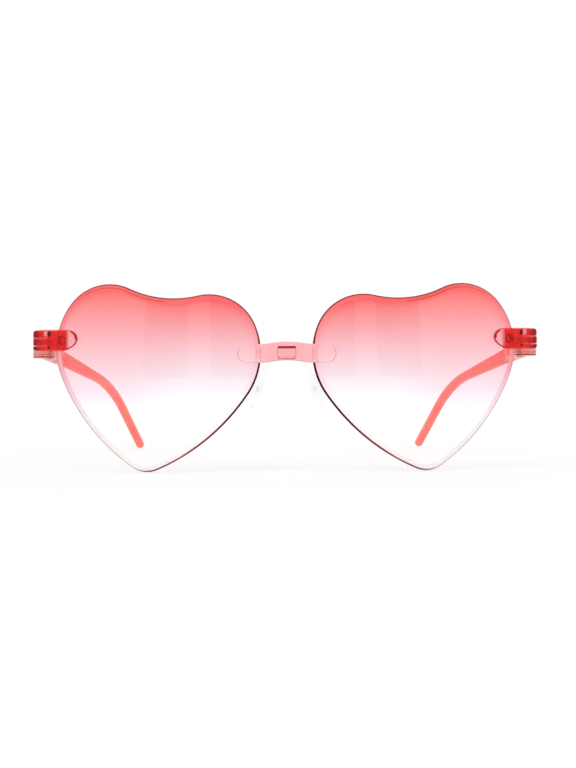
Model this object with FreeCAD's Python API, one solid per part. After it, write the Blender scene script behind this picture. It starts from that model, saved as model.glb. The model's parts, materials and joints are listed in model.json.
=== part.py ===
import FreeCAD, Part
import math
import os

V = FreeCAD.Vector

# Main sizes, millimetres and degrees
lens_h = 56.0               # height of a lens
tip_span = 83.06            # between the bottom tips of the two lenses
hinge_out = 3.55            # hinge axis beyond the edge of its lens
temple_reach = 126.2        # hinge axis to the middle of the temple's round end, seen from above

# Heart outline of one lens seen from the front
tip_r = 7.7
outer_lobe_dx = 11.25       # lobe centres, measured from the tip centre
outer_lobe_r = 14.3
inner_lobe_dx = -18.65
inner_lobe_r = 14.7
lobe_step = 3.3             # the inner lobe is lower by this
notch_r = 30.6              # hollow between the lobes
outer_side_r = 60.7         # long flanks down to the tip
inner_side_r = 62.2
outer_shoulder_r = 22.3     # softer arcs between lobe and flank
outer_shoulder_deg = 37.4
inner_shoulder_r = 21.85
inner_shoulder_deg = 157.3

# Lens body
base_r = 130.0              # radius of the front surface
lens_t = 2.0
pole_in = 12.4              # foremost point of the front surface, inward from the tip
pole_drop = 27.0            # and below the top of the lens
bevel_w = 1.7               # polished slope along the front rim
bevel_d = 0.45
edge_w = 0.4                # steeper slope outside it
edge_d = 0.8
fit_gap = 0.05              # between a lens and the parts that hold it

# Bridge
bridge_drop = 20.3          # middle of the bar below the top of the lens
bridge_h = 5.5
bridge_rise = 0.75          # the middle of the bar is higher than its ends by this
arch_over = 1.3             # the arch runs out this far over the lens
bridge_over = 6.9           # how far each end lies over its lens
bridge_t = 2.3
bridge_lap_t = 1.6          # bar thickness left over the lens at its end
hook_over = 1.8             # rear hook behind the lens edge
hook_root = 1.4
hook_t = 1.2
hook_trim = 1.2             # the hooks are lower than the bar by this at top and bottom
bar_round = 0.45            # rounding of the front edge
window_w = 4.95
window_h = 2.2
window_drop = 0.4           # window centre below the bar centre
window_lip = 0.45           # the upper wall of the window slopes by this
window_side = 0.12          # its other walls by this
slot_h = 0.3                # fine slot below the window
slot_gap = 0.55
slot_d = 0.5

# Nose bracket and pads
tenon_gap = 0.05
tenon_sink = 0.9            # tenon face below the front of the bar
bracket_t = 1.5
bracket_side = 3.9          # plate edge to lens edge
bracket_h = 4.2
arm_r = 0.75
arm_bow_back = 6.0          # the arm's middle point
arm_bow_drop = 6.2          # below the middle of the bar
arm_bow_out = 7.2
pad_x = 9.9                 # pad centre
pad_y = 10.0
pad_drop = 13.9             # below the middle of the bar
pad_h = 13.0
pad_w = 6.6
pad_t = 2.4
pad_round = 0.8
pad_flare = 22.0
pad_splay = 20.0
plug_r = 1.5
plug_t = 0.9

# End piece and lens pin
mount_drop = 16.67          # middle of the end piece below the top of the lens
end_h = 6.1
tongue_over = 6.7           # front tongue over the lens
nose_up = 0.45              # tip of the tongue above the middle
nose_top_len = 3.4          # the tongue's nose is blunter at the top
nose_low_len = 5.3
tongue_t = 1.3
clamp_over = 3.6            # rear leaf behind the lens
clamp_t = 1.5
end_beyond = 3.5            # end piece beyond the hinge axis
end_corner = 0.9
end_round = 0.55            # rounding of the front edge
groove_h = 0.3              # two grooves round the outer end
groove_d = 0.35
groove_in = 1.0             # they start inward of the hinge axis
pin_d = 2.4
pin_inset = 1.8
pin_gap = 0.02
pin_proud = 0.12
pin_dimple_d = 1.2
pin_dimple = 0.4

# Hinge
knuckle_r = 2.2
stop_gap = 0.3              # temple to the back of the end piece
swing_gap = 0.3             # around the turning knuckle
knuckle_gap = 0.12          # between stacked knuckles
mid_knuckle_h = 2.3
mid_knuckle_drop = 0.4      # its centre below the middle of the end piece
screw_d = 1.4
screw_hold_gap = 0.02
screw_run_gap = 0.05
screw_head_d = 2.5
screw_head_h = 0.5          # below the temple
screw_head_sink = 0.25      # seated in the temple
screw_slot_w = 0.4
screw_slot_d = 0.35
screw_top_gap = 0.1

# Temple
toe_in = 7.1
arm_low = 2.4               # centre line at the hinge axis, below the middle of the end piece
arm_drop = 8.0              # slope of the straight part
ear_r = 120.0
ear_drop = 27.5             # slope of the tail
arm_out = 0.95              # middle of the rod, outward of the hinge axis
arm_t = 3.2
arm_h = 3.2
arm_root_h = 4.9            # height near the hinge
arm_root_s = 10.0
arm_round = 0.44            # edge rounding as a share of the thickness
block_low = 2.0             # hinge block below the end piece
block_round = 0.6           # rounding of its corners
hump_h = 0.9                # hump above it
hump_s = 5.4
hump_half = 3.0
block_out = 4.6             # its outer face, from the hinge axis
block_lap = 5.0             # block over the root of the rod
block_sink = 0.15           # its end lies inside the rod by this
block_flat = 6.0            # length of the flat outer face behind the axis


def polar(deg):
    return V(math.cos(math.radians(deg)), 0, math.sin(math.radians(deg)))


def unit(v):
    return v * (1.0 / v.Length)


def meet(c1, d1, c2, d2, side):
    # point at distance d1 from c1 and d2 from c2, on the left of the line for side 1
    e = c2 - c1
    length = e.Length
    e = unit(e)
    x = (d1 * d1 - d2 * d2 + length * length) / (2 * length)
    h = math.sqrt(d1 * d1 - x * x)
    return c1 + e * x + V(-e.z, 0, e.x) * (side * h)


# The eight centres of the heart's arcs, each tangent to the next
tip_c = V(tip_span / 2, 0, tip_r)
outer_c = V(tip_c.x + outer_lobe_dx, 0, lens_h - outer_lobe_r)
inner_c = V(tip_c.x + inner_lobe_dx, 0, lens_h - lobe_step - inner_lobe_r)
notch_c = meet(inner_c, inner_lobe_r + notch_r, outer_c, outer_lobe_r + notch_r, 1)
outer_sh_c = outer_c - polar(outer_shoulder_deg) * (outer_shoulder_r - outer_lobe_r)
inner_sh_c = inner_c - polar(inner_shoulder_deg) * (inner_shoulder_r - inner_lobe_r)
outer_side_c = meet(outer_sh_c, outer_side_r - outer_shoulder_r, tip_c, outer_side_r - tip_r, -1)
inner_side_c = meet(tip_c, inner_side_r - tip_r, inner_sh_c, inner_side_r - inner_shoulder_r, -1)


def arc(c, r, start, end):
    # arc about c from direction start to direction end the short way round
    middle = unit(start + end)
    return Part.Arc(c + start * r, c + middle * r, c + end * r).toShape()


def heart_wire(grow):
    # the outline moved outward by grow
    d_os = unit(outer_sh_c - outer_side_c)
    d_on = unit(notch_c - outer_c)
    d_in = unit(notch_c - inner_c)
    d_is = unit(inner_sh_c - inner_side_c)
    d_ti = unit(tip_c - inner_side_c)
    d_to = unit(tip_c - outer_side_c)
    d_oa = polar(outer_shoulder_deg)
    d_ia = polar(inner_shoulder_deg)
    return Part.Wire([
        arc(outer_sh_c, outer_shoulder_r + grow, d_os, d_oa),
        arc(outer_c, outer_lobe_r + grow, d_oa, d_on),
        arc(notch_c, notch_r - grow, d_on * -1, d_in * -1),
        arc(inner_c, inner_lobe_r + grow, d_in, d_ia),
        arc(inner_sh_c, inner_shoulder_r + grow, d_ia, d_is),
        arc(inner_side_c, inner_side_r + grow, d_is, d_ti),
        arc(tip_c, tip_r + grow, d_ti, d_to),
        arc(outer_side_c, outer_side_r + grow, d_to, d_os)])


def reach(z):
    # nearest and farthest point of the outline from the mid plane at height z
    level = Part.makeLine(V(-tip_span, 0, z), V(tip_span, 0, z))
    xs = [v.X for v in level.section(heart_wire(0)).Vertexes]
    return min(xs), max(xs)


# Foremost point of the lens, and heights taken from the top of the lens
pole_x = tip_c.x - pole_in
pole_z = lens_h - pole_drop
bridge_z = lens_h - bridge_drop
mount_z = lens_h - mount_drop


def ball(radius):
    return Part.makeSphere(radius, V(pole_x, base_r, pole_z))


def depth(radius, x, z):
    # depth of the surface of that radius about the lens centre point
    return base_r - math.sqrt(radius ** 2 - (x - pole_x) ** 2 - (z - pole_z) ** 2)


def prism(wire, y0, y1):
    face = Part.Face(wire)
    face.translate(V(0, y0, 0))
    return face.extrude(V(0, y1 - y0, 0))


def layer(solid, outer, inner):
    # the part of a solid between two surfaces around the lens centre point
    return solid.common(ball(outer)).cut(ball(inner))


def both(shape):
    return {"left": shape, "right": shape.mirror(V(0, 0, 0), V(1, 0, 0))}


def box(x0, x1, y0, y1, z0, z1):
    return Part.makeBox(x1 - x0, y1 - y0, z1 - z0, V(x0, y0, z0))


def upright(r, x, y, z0, z1):
    return Part.makeCylinder(r, z1 - z0, V(x, y, z0), V(0, 0, 1))


# Places that follow from the lens outline
span = lens_h / 2           # more than any part needs front to back of the lens
back_r = base_r - lens_t
inner_x = reach(bridge_z)[0]
edge_x = reach(mount_z)[1]
pin_x = edge_x - pin_inset
hinge_x = edge_x + hinge_out
end_x = hinge_x + end_beyond
end_low = mount_z - end_h / 2
end_top = mount_z + end_h / 2
front_skin = base_r + fit_gap + tongue_t
rear_skin = back_r - fit_gap - clamp_t
hinge_y = depth(rear_skin, end_x, end_top) + stop_gap + knuckle_r
mid_low = mount_z - mid_knuckle_drop - mid_knuckle_h / 2
mid_top = mid_low + mid_knuckle_h
block_z = end_low - block_low
corner_low = end_low - swing_gap


def lens_solid(edge, face):
    blank = prism(heart_wire(edge), -span, span)
    return layer(blank, base_r + face, back_r - face)


lens_room = lens_solid(fit_gap, fit_gap)


def edges_on(shape, radius):
    # edges that run along the surface of that radius about the lens centre point
    centre = V(pole_x, base_r, pole_z)
    found = []
    for edge in shape.Edges:
        middle = edge.valueAt((edge.FirstParameter + edge.LastParameter) / 2)
        if abs((middle - centre).Length - radius) < fit_gap / 2:
            found.append(edge)
    return found


def slope_rim(solid, edges, first, second, kind):
    # slopes the edges both ways round and keeps the one that leaves least of that kind of surface
    options = [solid.makeChamfer(a, b, edges) for a, b in ((first, second), (second, first))]
    return min(options, key=lambda s: sum(f.Area for f in s.Faces if f.Surface.TypeId == kind))


def make_lens():
    # curved heart with two slopes along its front rim and a bite in its edge for the pin
    lens = lens_solid(0, 0)
    lens = slope_rim(lens, edges_on(lens, base_r), bevel_w, bevel_d, "Part::GeomSphere")
    between = {"Part::GeomCylinder", "Part::GeomBSplineSurface"}
    rim = []
    for edge in lens.Edges:
        if {f.Surface.TypeId for f in lens.ancestorsOfType(edge, Part.Face)} == between:
            rim.append(edge)
    lens = slope_rim(lens, rim, edge_d, edge_w, "Part::GeomCylinder")
    bite_r = pin_d / 2 + fit_gap
    bite = Part.makeCylinder(bite_r, 2 * span, V(pin_x, -span, mount_z), V(0, 1, 0))
    mouth = box(pin_x, edge_x + span, -span, span, mount_z - bite_r, mount_z + bite_r)
    return lens.cut(bite.fuse(mouth)).Solids[0]


# Depths of the bridge bar, taken from the lens surface under its ends
bar_half = inner_x + bridge_over
bar_front = depth(base_r + fit_gap, bar_half, bridge_z) - bridge_lap_t
bar_back = bar_front + bridge_t
window_z = bridge_z - window_drop
window_low = window_z - window_h / 2


def bar_wire(grow):
    # arched bar with level, round ends: on each side a hollow arc leads from the crown to the end
    arch_half = inner_x + arch_over
    radius = (arch_half ** 2 + bridge_rise ** 2) / (4 * bridge_rise)
    swing = math.degrees(math.asin(arch_half / (2 * radius)))
    h = bridge_h / 2 + grow
    end_z = bridge_z - bridge_rise
    crown_c = V(0, 0, bridge_z - radius)
    up, down = polar(90), polar(-90)
    edges = []
    for r in (radius + h, radius - h):
        edges.append(arc(crown_c, r, polar(90 + swing), polar(90 - swing)))
    for side in (1, -1):
        hollow_c = V(side * arch_half, 0, end_z + radius)
        end_c = V(side * (bar_half - bridge_h / 2), 0, end_z)
        for r, out in ((radius - h, up), (radius + h, down)):
            edges.append(arc(hollow_c, r, polar(90 - side * swing) * -1, down))
            edges.append(Part.makeLine(hollow_c + down * r, end_c + out * h))
        edges.append(Part.Arc(end_c + up * h, end_c + V(side * h, 0, 0), end_c + down * h).toShape())
    return Part.Wire(Part.__sortEdges__(edges))


def window_box(gap, y0, y1):
    w = window_w / 2 - gap
    h = window_h / 2 - gap
    return box(-w, w, y0, y1, window_z - h, window_z + h)


def mouth_wire(y):
    # outline of the window's sloped mouth at depth y, which ends at the face of the tenon
    share = (bar_front + tenon_sink - y) / tenon_sink
    w = window_w / 2 + window_side * share
    low = window_low - window_side * share
    top = window_low + window_h + window_lip * share
    return Part.makePolygon([V(-w, y, low), V(w, y, low), V(w, y, top), V(-w, y, top), V(-w, y, low)])


def make_bridge():
    # front bar, and on each side a hook that reaches round the lens edge
    bar = prism(bar_wire(0), bar_front, bar_back)
    bar = bar.makeFillet(bar_round, [e for e in bar.Edges if e.BoundBox.YMax < (bar_front + bar_back) / 2])
    slim = prism(bar_wire(-hook_trim), bar_back - bridge_t / 2, span)
    hook = slim.common(box(inner_x - hook_root, inner_x + hook_over, -span, span, 0, 2 * bridge_z))
    hook = hook.cut(ball(back_r - fit_gap - hook_t))
    part = bar
    for side in both(hook).values():
        part = part.fuse(side)
    for side in both(lens_room).values():
        part = part.cut(side)
    part = part.cut(window_box(0, bar_front, bar_back + bridge_t))
    mouth = [mouth_wire(bar_front - bar_round), mouth_wire(bar_front + tenon_sink)]
    part = part.cut(Part.makeLoft(mouth, True, True))
    slot_top = window_low - slot_gap
    slot = box(-window_w / 2, window_w / 2, bar_front - slot_d, bar_front + slot_d,
               slot_top - slot_h, slot_top)
    return part.cut(slot).Solids[0]


pad_c = V(pad_x, pad_y, bridge_z - pad_drop)


def place_pad(shape):
    shape.rotate(V(0, 0, 0), V(0, 1, 0), -pad_flare)
    shape.rotate(V(0, 0, 0), V(0, 0, 1), -pad_splay)
    shape.translate(pad_c)
    return shape


plate_y = bar_back + tenon_gap
plate_half = inner_x - bracket_side
plate_low = window_z - bracket_h / 2


def pad_arm(grow):
    # bowed arm from the plate to the pad, with a disc that sits inside the pad
    start = V(plate_half - arm_r, plate_y + bracket_t / 2, plate_low + arm_r)
    path = Part.Arc(start, V(arm_bow_out, arm_bow_back, bridge_z - arm_bow_drop), pad_c).toShape()
    ring = Part.Wire([Part.Circle(start, path.tangentAt(path.FirstParameter), arm_r + grow).toShape()])
    arm = Part.Wire([path]).makePipeShell([ring], True, False)
    half = plug_t / 2 + grow
    plug = Part.makeCylinder(plug_r + grow, 2 * half, V(-half, 0, 0), V(1, 0, 0))
    return arm.fuse(place_pad(plug))


def make_bracket():
    part = box(-plate_half, plate_half, plate_y, plate_y + bracket_t, plate_low, plate_low + bracket_h)
    part = part.fuse(window_box(tenon_gap, bar_front + tenon_sink, plate_y + bracket_t / 2))
    for side in both(pad_arm(0)).values():
        part = part.fuse(side)
    return part.Solids[0]


def make_pad():
    oval = Part.Ellipse(V(0, 0, 0), pad_h / 2, pad_w / 2).toShape()
    face = Part.Face(Part.Wire([oval]))
    face.rotate(V(0, 0, 0), V(0, 1, 0), 90)
    face.translate(V(-pad_t / 2, 0, 0))
    pad = face.extrude(V(pad_t, 0, 0))
    rims = [e for e in pad.Edges if len(e.Vertexes) == 1]
    pad = pad.makeFillet(pad_round, rims)
    return place_pad(pad).cut(pad_arm(fit_gap)).Solids[0]


def quarter(start, end, pull):
    # quarter of an ellipse that leaves its start along pull
    lean = 4 * (math.sqrt(2) - 1) / 3
    rest = end - start - pull
    curve = Part.BezierCurve()
    curve.setPoles([start, start + pull * lean, end - rest * lean, end])
    return curve.toShape()


def end_wire():
    # tongue with a lopsided nose, then a block with round outer corners
    tip = V(edge_x - tongue_over, 0, mount_z + nose_up)
    top = V(tip.x + nose_top_len, 0, end_top)
    low = V(tip.x + nose_low_len, 0, end_low)
    r = end_corner
    top_c, low_c = V(end_x - r, 0, end_top - r), V(end_x - r, 0, end_low + r)
    up, out, down = polar(90), polar(0), polar(-90)
    return Part.Wire([
        quarter(tip, top, V(0, 0, end_top - tip.z)),
        Part.makeLine(top, top_c + up * r), arc(top_c, r, up, out),
        Part.makeLine(top_c + out * r, low_c + out * r), arc(low_c, r, out, down),
        Part.makeLine(low_c + down * r, low),
        quarter(tip, low, V(0, 0, end_low - tip.z))])


def make_end_piece():
    # curved slab with a round front edge; over the lens only its front skin stays, as the tongue
    part = layer(prism(end_wire(), -span, 2 * span), front_skin, rear_skin)
    part = part.makeFillet(end_round, edges_on(part, front_skin))
    part = part.cut(box(0, edge_x - clamp_over, -span, 2 * span, 0, 2 * mount_z).common(ball(base_r)))
    core = box(0, end_x - groove_d, -span, 2 * span, 0, 2 * mount_z).common(ball(front_skin - groove_d))
    for z in (mid_low, mid_top):
        ring = box(hinge_x - groove_in, end_x + groove_d, -span, 2 * span,
                   z - groove_h / 2, z + groove_h / 2)
        part = part.cut(ring.cut(core))
    web_y = depth(back_r, hinge_x, mount_z)
    web = box(hinge_x - knuckle_r, end_x, web_y, hinge_y, mid_low, mid_top)
    knuckle = upright(knuckle_r, hinge_x, hinge_y, mid_low, mid_top)
    part = part.fuse(web).fuse(knuckle)
    part = part.cut(lens_room)
    part = part.cut(upright(screw_d / 2 + screw_run_gap, hinge_x, hinge_y, 0, 2 * mount_z))
    bore = Part.makeCylinder(pin_d / 2 + pin_gap, 2 * span, V(pin_x, -span, mount_z), V(0, 1, 0))
    return part.cut(bore).Solids[0]


def make_pin():
    # headless pin with a dimple in its front end
    y0 = depth(front_skin, pin_x, mount_z) - pin_proud
    y1 = depth(rear_skin, pin_x, mount_z)
    pin = Part.makeCylinder(pin_d / 2, y1 - y0, V(pin_x, y0, mount_z), V(0, 1, 0))
    dimple = Part.makeCylinder(pin_dimple_d / 2, pin_dimple, V(pin_x, y0, mount_z), V(0, 1, 0))
    return pin.cut(dimple).Solids[0]


# Temple in its own frame: hinge axis at the origin, length along y, outward along x
slope = math.radians(arm_drop)
tail = math.radians(ear_drop)
arm_z = mount_z - arm_low
bend_run = ear_r * (math.sin(tail) - math.sin(slope))
bend_fall = ear_r * (math.cos(slope) - math.cos(tail))
# the tail's length lets the round end rest on the ground at the reach of the temple
spare = arm_z - arm_h / 2 - bend_fall - (temple_reach - bend_run) * math.tan(slope)
tail_len = spare / (math.sin(tail) - math.cos(tail) * math.tan(slope))
arm_straight = temple_reach - bend_run - tail_len * math.cos(tail)
bend_start = V(0, arm_straight, arm_z - arm_straight * math.tan(slope))
bend_c = bend_start - V(0, math.sin(slope), math.cos(slope)) * ear_r
tail_up = V(0, math.sin(tail), math.cos(tail))
tail_run = V(0, math.cos(tail), -math.sin(tail))
tail_end = bend_c + tail_up * ear_r + tail_run * tail_len
root_mid = V(0, arm_root_s, arm_z - arm_root_s * math.tan(slope))


def turn(v, rad):
    return V(0, v.y * math.cos(rad) - v.z * math.sin(rad), v.y * math.sin(rad) + v.z * math.cos(rad))


def touch(point, radius):
    # where the line from a point meets the ear circle of that radius as a tangent
    e = point - bend_c
    return bend_c + turn(unit(e), -math.acos(radius / e.Length)) * radius


def bend_arc(start, radius):
    end = tail_up
    begin = unit(start - bend_c)
    return Part.Arc(start, bend_c + unit(begin + end) * radius, bend_c + end * radius).toShape()


root_up = root_mid + V(0, 0, arm_root_h / 2)
root_low = root_mid - V(0, 0, arm_root_h / 2)
top_r = ear_r + arm_h / 2
low_r = ear_r - arm_h / 2
touch_up = touch(root_up, top_r)
touch_low = touch(root_low, low_r)


def line_at(a, b, s):
    return a + (b - a) * ((s - a.y) / (b.y - a.y))


def make_arm():
    # tapered, bent rod with a round end and rounded edges
    half = tail_up * (arm_h / 2)
    up_end = bend_c + tail_up * top_r
    low_end = bend_c + tail_up * low_r
    edges = [
        Part.makeLine(root_up, touch_up), bend_arc(touch_up, top_r),
        Part.makeLine(up_end, tail_end + half),
        Part.Arc(tail_end + half, tail_end + tail_run * (arm_h / 2), tail_end - half).toShape(),
        Part.makeLine(tail_end - half, low_end), bend_arc(touch_low, low_r),
        Part.makeLine(touch_low, root_low), Part.makeLine(root_low, root_up)]
    face = Part.Face(Part.Wire(Part.__sortEdges__(edges)))
    face.translate(V(arm_out - arm_t / 2, 0, 0))
    arm = face.extrude(V(arm_t, 0, 0))
    rims = [e for e in arm.Edges if e.BoundBox.XLength < fit_gap < e.BoundBox.YLength]
    return arm.makeFillet(arm_round * min(arm_t, arm_h), rims)


def make_block():
    # hinge block that narrows into the rod
    end_s = arm_root_s + block_lap
    up = line_at(root_up, touch_up, end_s) - V(0, 0, block_sink)
    low = line_at(root_low, touch_low, end_s) + V(0, 0, block_sink)
    rise = V(0, hump_s - hump_half, end_top)
    fall = V(0, hump_s + hump_half, end_top)
    front_top = V(0, -knuckle_r, end_top)
    front_low = V(0, -knuckle_r, block_z)
    heel = V(0, block_flat, block_z)
    crest = Part.Arc(rise, V(0, hump_s, end_top + hump_h), fall).toShape()
    ring = [(front_low, front_top), (front_top, rise), (fall, up), (up, low), (low, heel), (heel, front_low)]
    edges = [Part.makeLine(a, b) for a, b in ring] + [crest]
    face = Part.Face(Part.Wire(Part.__sortEdges__(edges)))
    face.translate(V(-knuckle_r, 0, 0))
    block = face.extrude(V(knuckle_r + block_out, 0, 0))
    block = block.makeFillet(block_round, [e for e in block.Edges if e.BoundBox.YMax < 0 < e.BoundBox.XMax])
    w, n = knuckle_r, arm_t / 2 - block_sink
    plan = [V(-w, -w, 0), V(block_out, -w, 0), V(block_out, block_flat, 0), V(arm_out + n, end_s, 0),
            V(arm_out - n, end_s, 0), V(-w, block_flat, 0), V(-w, -w, 0)]
    plan = Part.Face(Part.makePolygon(plan)).extrude(V(0, 0, 2 * mount_z))
    plan = plan.makeFillet(block_round, [e for e in plan.Edges if e.BoundBox.YMax < 0 < e.BoundBox.XMin])
    return block.common(plan)


def make_temple():
    # the inner front corner is round where it swings past the end piece, and square below
    corner = box(-2 * knuckle_r, 0, -2 * knuckle_r, 0, corner_low, 2 * mount_z)
    part = make_block().fuse(make_arm())
    part = part.cut(corner.cut(upright(knuckle_r, 0, 0, 0, 2 * mount_z)))
    part = part.cut(box(-span, span, -span, knuckle_r + swing_gap,
                        mid_low - knuckle_gap, mid_top + knuckle_gap))
    part = part.cut(upright(screw_d / 2 + screw_hold_gap, 0, 0, 0, 2 * mount_z))
    part = part.cut(upright(screw_head_d / 2 + screw_hold_gap, 0, 0, 0, block_z + screw_head_sink))
    return set_out(part.Solids[0])


def make_screw():
    # domed slotted head under the temple, shank up through the three knuckles
    top = block_z + screw_head_sink
    low = block_z - screw_head_h
    dome_r = (screw_head_d / 2) ** 2 / (2 * screw_head_h) + screw_head_h / 2
    head = upright(screw_head_d / 2, 0, 0, low, top)
    head = head.common(Part.makeSphere(dome_r, V(0, 0, low + dome_r)))
    slot = box(-span, span, -screw_slot_w / 2, screw_slot_w / 2, low - screw_slot_d, low + screw_slot_d)
    head = head.cut(slot)
    shank = upright(screw_d / 2, 0, 0, top, end_top - screw_top_gap)
    return set_out(head.fuse(shank).Solids[0])


def set_out(shape):
    shape.rotate(V(0, 0, 0), V(0, 0, 1), toe_in)
    shape.translate(V(hinge_x, hinge_y, 0))
    return shape


nodes = {"bridge": make_bridge(), "nose_bracket": make_bracket()}
pairs = {"lens": make_lens(), "nose_pad": make_pad(), "end_piece": make_end_piece(), "lens_pin": make_pin(),
         "temple": make_temple(), "hinge_screw": make_screw()}
for name, shape in pairs.items():
    for side, copy in both(shape).items():
        nodes[side + "_" + name] = copy

# The shared origin is the middle of the bounding box, at its bottom
whole = Part.makeCompound(list(nodes.values())).optimalBoundingBox(False, False)
shift = V(0, -(whole.YMin + whole.YMax) / 2, -whole.ZMin)
os.makedirs("parts", exist_ok=True)
for name, shape in nodes.items():
    shape.translate(shift)
    shape.exportStep("parts/" + name + ".step")
    print(name, shape.ShapeType, shape.isValid(), round(shape.Volume, 2))
print("shift", shift)
print("box", whole)
print("hinge axis", hinge_x, hinge_y + shift.y, "heights", block_z + shift.z, end_top + shift.z)
print("bar front", bar_front + shift.y)
print("tail end", set_out(Part.Vertex(tail_end + V(arm_out, 0, 0))).Point + shift)
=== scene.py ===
import bpy
import bmesh
import cmath
import json
import math
from mathutils import Matrix, Vector


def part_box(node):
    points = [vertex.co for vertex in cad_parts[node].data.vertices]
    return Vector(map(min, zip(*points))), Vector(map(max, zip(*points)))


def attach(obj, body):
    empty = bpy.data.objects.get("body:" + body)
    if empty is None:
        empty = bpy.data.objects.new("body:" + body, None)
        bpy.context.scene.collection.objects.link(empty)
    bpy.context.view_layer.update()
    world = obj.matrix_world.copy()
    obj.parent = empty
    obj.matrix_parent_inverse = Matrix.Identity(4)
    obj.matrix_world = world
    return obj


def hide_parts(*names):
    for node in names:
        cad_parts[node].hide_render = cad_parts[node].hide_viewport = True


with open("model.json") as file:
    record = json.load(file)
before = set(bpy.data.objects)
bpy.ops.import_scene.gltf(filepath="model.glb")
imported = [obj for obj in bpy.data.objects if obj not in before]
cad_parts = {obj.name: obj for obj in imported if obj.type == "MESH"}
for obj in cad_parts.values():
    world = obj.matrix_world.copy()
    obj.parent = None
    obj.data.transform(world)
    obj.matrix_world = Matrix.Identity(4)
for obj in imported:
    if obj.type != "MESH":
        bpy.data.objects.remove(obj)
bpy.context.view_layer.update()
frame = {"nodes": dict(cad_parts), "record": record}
scene = bpy.context.scene
scene.view_settings.view_transform = "Standard"
mm = 0.001
white = (1.0, 1.0, 1.0)
print("frame loaded:", len(frame["nodes"]), "nodes")


def pick(sockets, key):
    # a socket by place, identifier or name
    if isinstance(key, int):
        return sockets[key]
    for s in sockets:
        if s.identifier == key:
            return s
    return sockets[key]


def rgba(c):
    return c if isinstance(c, Wire) else (*c, 1.0)


class Wire:
    # a socket of a node tree that can be reckoned with
    def __init__(self, tree, socket=None):
        self.tree, self.socket = tree, socket

    def node(self, kind, settings=None, sockets=None, out=0):
        # a new node: its settings first, then a value or a link for each socket
        n = self.tree.nodes.new(kind)
        for key, value in (settings or {}).items():
            setattr(n, key, value)
        for key, value in (sockets or {}).items():
            target = pick(n.inputs, key)
            if isinstance(value, Wire):
                self.tree.links.new(value.socket, target)
            else:
                target.default_value = value
        return Wire(self.tree, pick(n.outputs, out) if len(n.outputs) else None)

    def other(self, out):
        return Wire(self.tree, pick(self.socket.node.outputs, out))

    def calc(self, operation, a, b=0.0):
        return self.node("ShaderNodeMath", {"operation": operation}, {0: a, 1: b})

    def __add__(self, b): return self.calc("ADD", self, b)
    def __radd__(self, a): return self.calc("ADD", a, self)
    def __sub__(self, b): return self.calc("SUBTRACT", self, b)
    def __rsub__(self, a): return self.calc("SUBTRACT", a, self)
    def __mul__(self, b): return self.calc("MULTIPLY", self, b)
    def __rmul__(self, a): return self.calc("MULTIPLY", a, self)
    def __truediv__(self, b): return self.calc("DIVIDE", self, b)
    def __rtruediv__(self, a): return self.calc("DIVIDE", a, self)
    def __pow__(self, b): return self.calc("POWER", self, b)

    def most(self, b): return self.calc("MAXIMUM", self, b)
    def least(self, b): return self.calc("MINIMUM", self, b)
    def size(self): return self.calc("ABSOLUTE", self)

    def parts(self):
        n = self.node("ShaderNodeSeparateXYZ", None, {"Vector": self})
        return n, n.other("Y"), n.other("Z")

    def span(self, low, high):
        # straight line from low at 0 to high at 1
        return self * (high - low) + low

    def ease(self, low, high, to0=0.0, to1=1.0):
        # smooth step from to0 at low to to1 at high
        return self.node("ShaderNodeMapRange", {"interpolation_type": "SMOOTHSTEP"},
                         {"Value": self, "From Min": low, "From Max": high, "To Min": to0, "To Max": to1})

    def fall(self, low, high):
        # smooth step from 1 at low down to 0 at high
        return self.ease(low, high, 1.0, 0.0)

    def mix(self, how, share, a, b):
        return self.node("ShaderNodeMix", {"data_type": "RGBA", "blend_type": how},
                         {"Factor_Float": share, "A_Color": rgba(a), "B_Color": rgba(b)}, "Result_Color")

    def blend(self, a, b):
        # colour a where this value is 0, colour b where it is 1
        return self.mix("MIX", self, a, b)

    def stained(self, mask, colour):
        # this colour multiplied by another as far as the mask goes
        return self.mix("MULTIPLY", 1.0, self, mask.blend(white, colour))


def vector(w, x, y, z):
    return w.node("ShaderNodeCombineXYZ", None, {"X": x, "Y": y, "Z": z})


def material(name):
    m = bpy.data.materials.new(name)
    m.use_nodes = True
    tree = m.node_tree
    tree.nodes.clear()
    return m, Wire(tree)


def close(w, shader):
    w.node("ShaderNodeOutputMaterial", None, {"Surface": shader})


def near(value, centre, half, soft):
    # 1 within half of the centre, 0 beyond a soft edge
    return (value - centre).size().fall(half, half + soft)


def patch(across, up, wide, high):
    # 1 inside a rectangle, each way with its centre, half size and soft edge
    return near(across, *wide) * near(up, *high)


def squares(a, b):
    return a * a + b * b


# Camera: millimetres and degrees
cameraSet = {"distance": 350.0, "lensPlane": -70.997, "height": 25.97, "aside": 0.28,
             "turn": -1.3, "roll": -0.32, "focal": 55.86, "sensor": 36.0, "clip": (0.01, 20.0)}


def makeCamera():
    s = cameraSet
    turn = math.radians(s["turn"])
    data = bpy.data.cameras.new("camera")
    data.lens = s["focal"]
    data.sensor_width = s["sensor"]
    data.clip_start, data.clip_end = s["clip"]
    cam = bpy.data.objects.new("camera", data)
    scene.collection.objects.link(cam)
    place = Vector((s["aside"] + s["distance"] * math.sin(turn),
                    s["lensPlane"] - s["distance"] * math.cos(turn), s["height"])) * mm
    look = Matrix.Rotation(turn, 4, "Z") @ Matrix.Rotation(math.pi / 2, 4, "X")
    cam.matrix_world = Matrix.Translation(place) @ look @ Matrix.Rotation(math.radians(s["roll"]), 4, "Z")
    scene.camera = cam


makeCamera()
print("camera set")

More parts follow.
